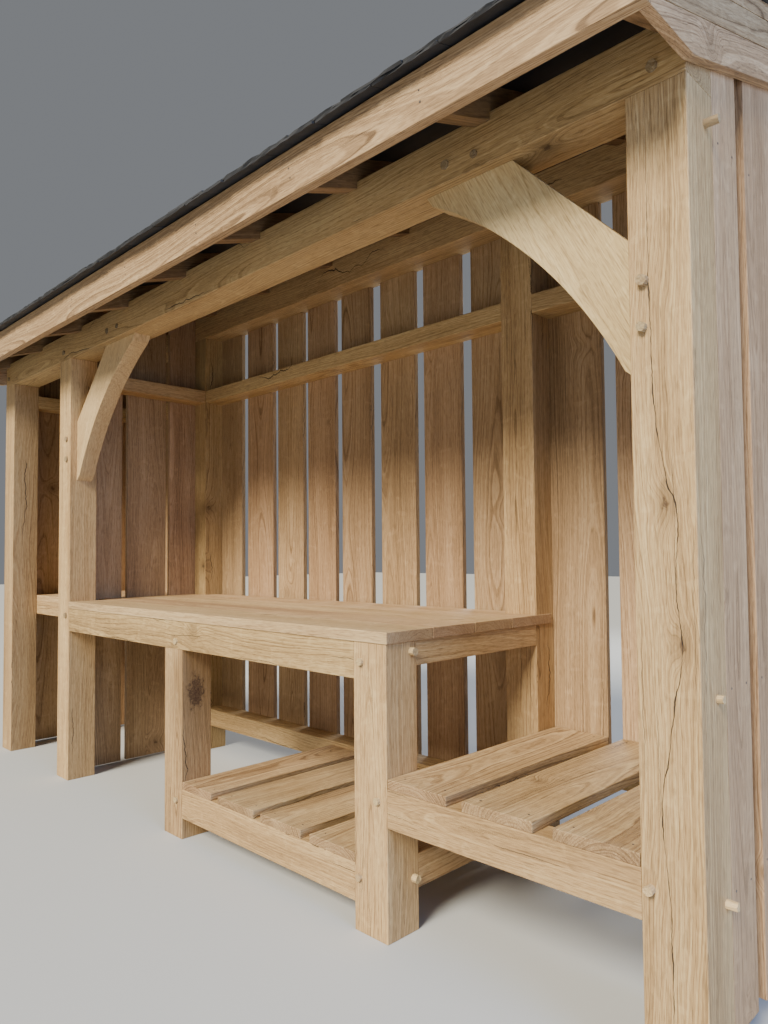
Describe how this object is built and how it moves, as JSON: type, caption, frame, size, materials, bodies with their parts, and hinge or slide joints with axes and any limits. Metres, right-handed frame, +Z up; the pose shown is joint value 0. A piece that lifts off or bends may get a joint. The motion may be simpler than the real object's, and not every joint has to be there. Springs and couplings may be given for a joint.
{
  "type": "oak pergola",
  "caption": "Open-fronted oak shelter with a single-pitch slated roof, curved braces, a boarded back and ends, a worktop and slatted shelves.",
  "frame": {"origin": "on the ground, at the middle of the roof's plan", "axes": "+X to the right along the open front, +Y to the boarded back, +Z up"},
  "size_m": [4.28, 1.443, 2.8037],
  "materials": {
    "oak_frame": "matte",
    "oak_boards": "matte",
    "oak_worktop": "matte",
    "oak_trim": "matte",
    "slate": "matte"
  },
  "bodies": {
    "root": {"front_left_post": "oak_frame", "front_second_post": "oak_frame", "front_right_post": "oak_frame", "back_left_post": "oak_frame", "back_second_post": "oak_frame", "back_middle_post": "oak_frame", "back_right_post": "oak_frame", "front_plate": "oak_frame", "back_plate": "oak_frame", "left_brace": "oak_frame", "right_brace": "oak_frame", "back_top_rails": "oak_frame", "back_low_rails": "oak_frame", "left_end_top_rail": "oak_frame", "dividing_top_rail": "oak_frame", "right_end_top_rail": "oak_frame", "left_end_bench_rail": "oak_frame", "dividing_bench_rail": "oak_frame", "right_end_bench_rail": "oak_frame", "right_end_low_rail": "oak_frame", "bench_left_leg": "oak_frame", "bench_right_leg": "oak_frame", "bench_apron": "oak_frame", "bench_end_rail": "oak_frame", "bench_back_rails": "oak_frame", "bench_top": "oak_worktop", "left_bay_shelf": "oak_worktop", "left_bay_rail": "oak_frame", "left_shelf_front_rail": "oak_frame", "left_shelf_bearer": "oak_frame", "left_shelf_side_rail": "oak_frame", "left_shelf_slats": "oak_worktop", "right_shelf_front_rail": "oak_frame", "right_shelf_slats": "oak_worktop", "back_boards": "oak_boards", "left_end_boards": "oak_boards", "dividing_boards": "oak_boards", "right_end_boards": "oak_boards", "rafters": "oak_frame", "fascia": "oak_trim", "back_fascia": "oak_trim", "left_barge": "oak_trim", "right_barge": "oak_trim", "roof_deck": "oak_boards", "roof_slates": "slate"}
  },
  "joints": []
}
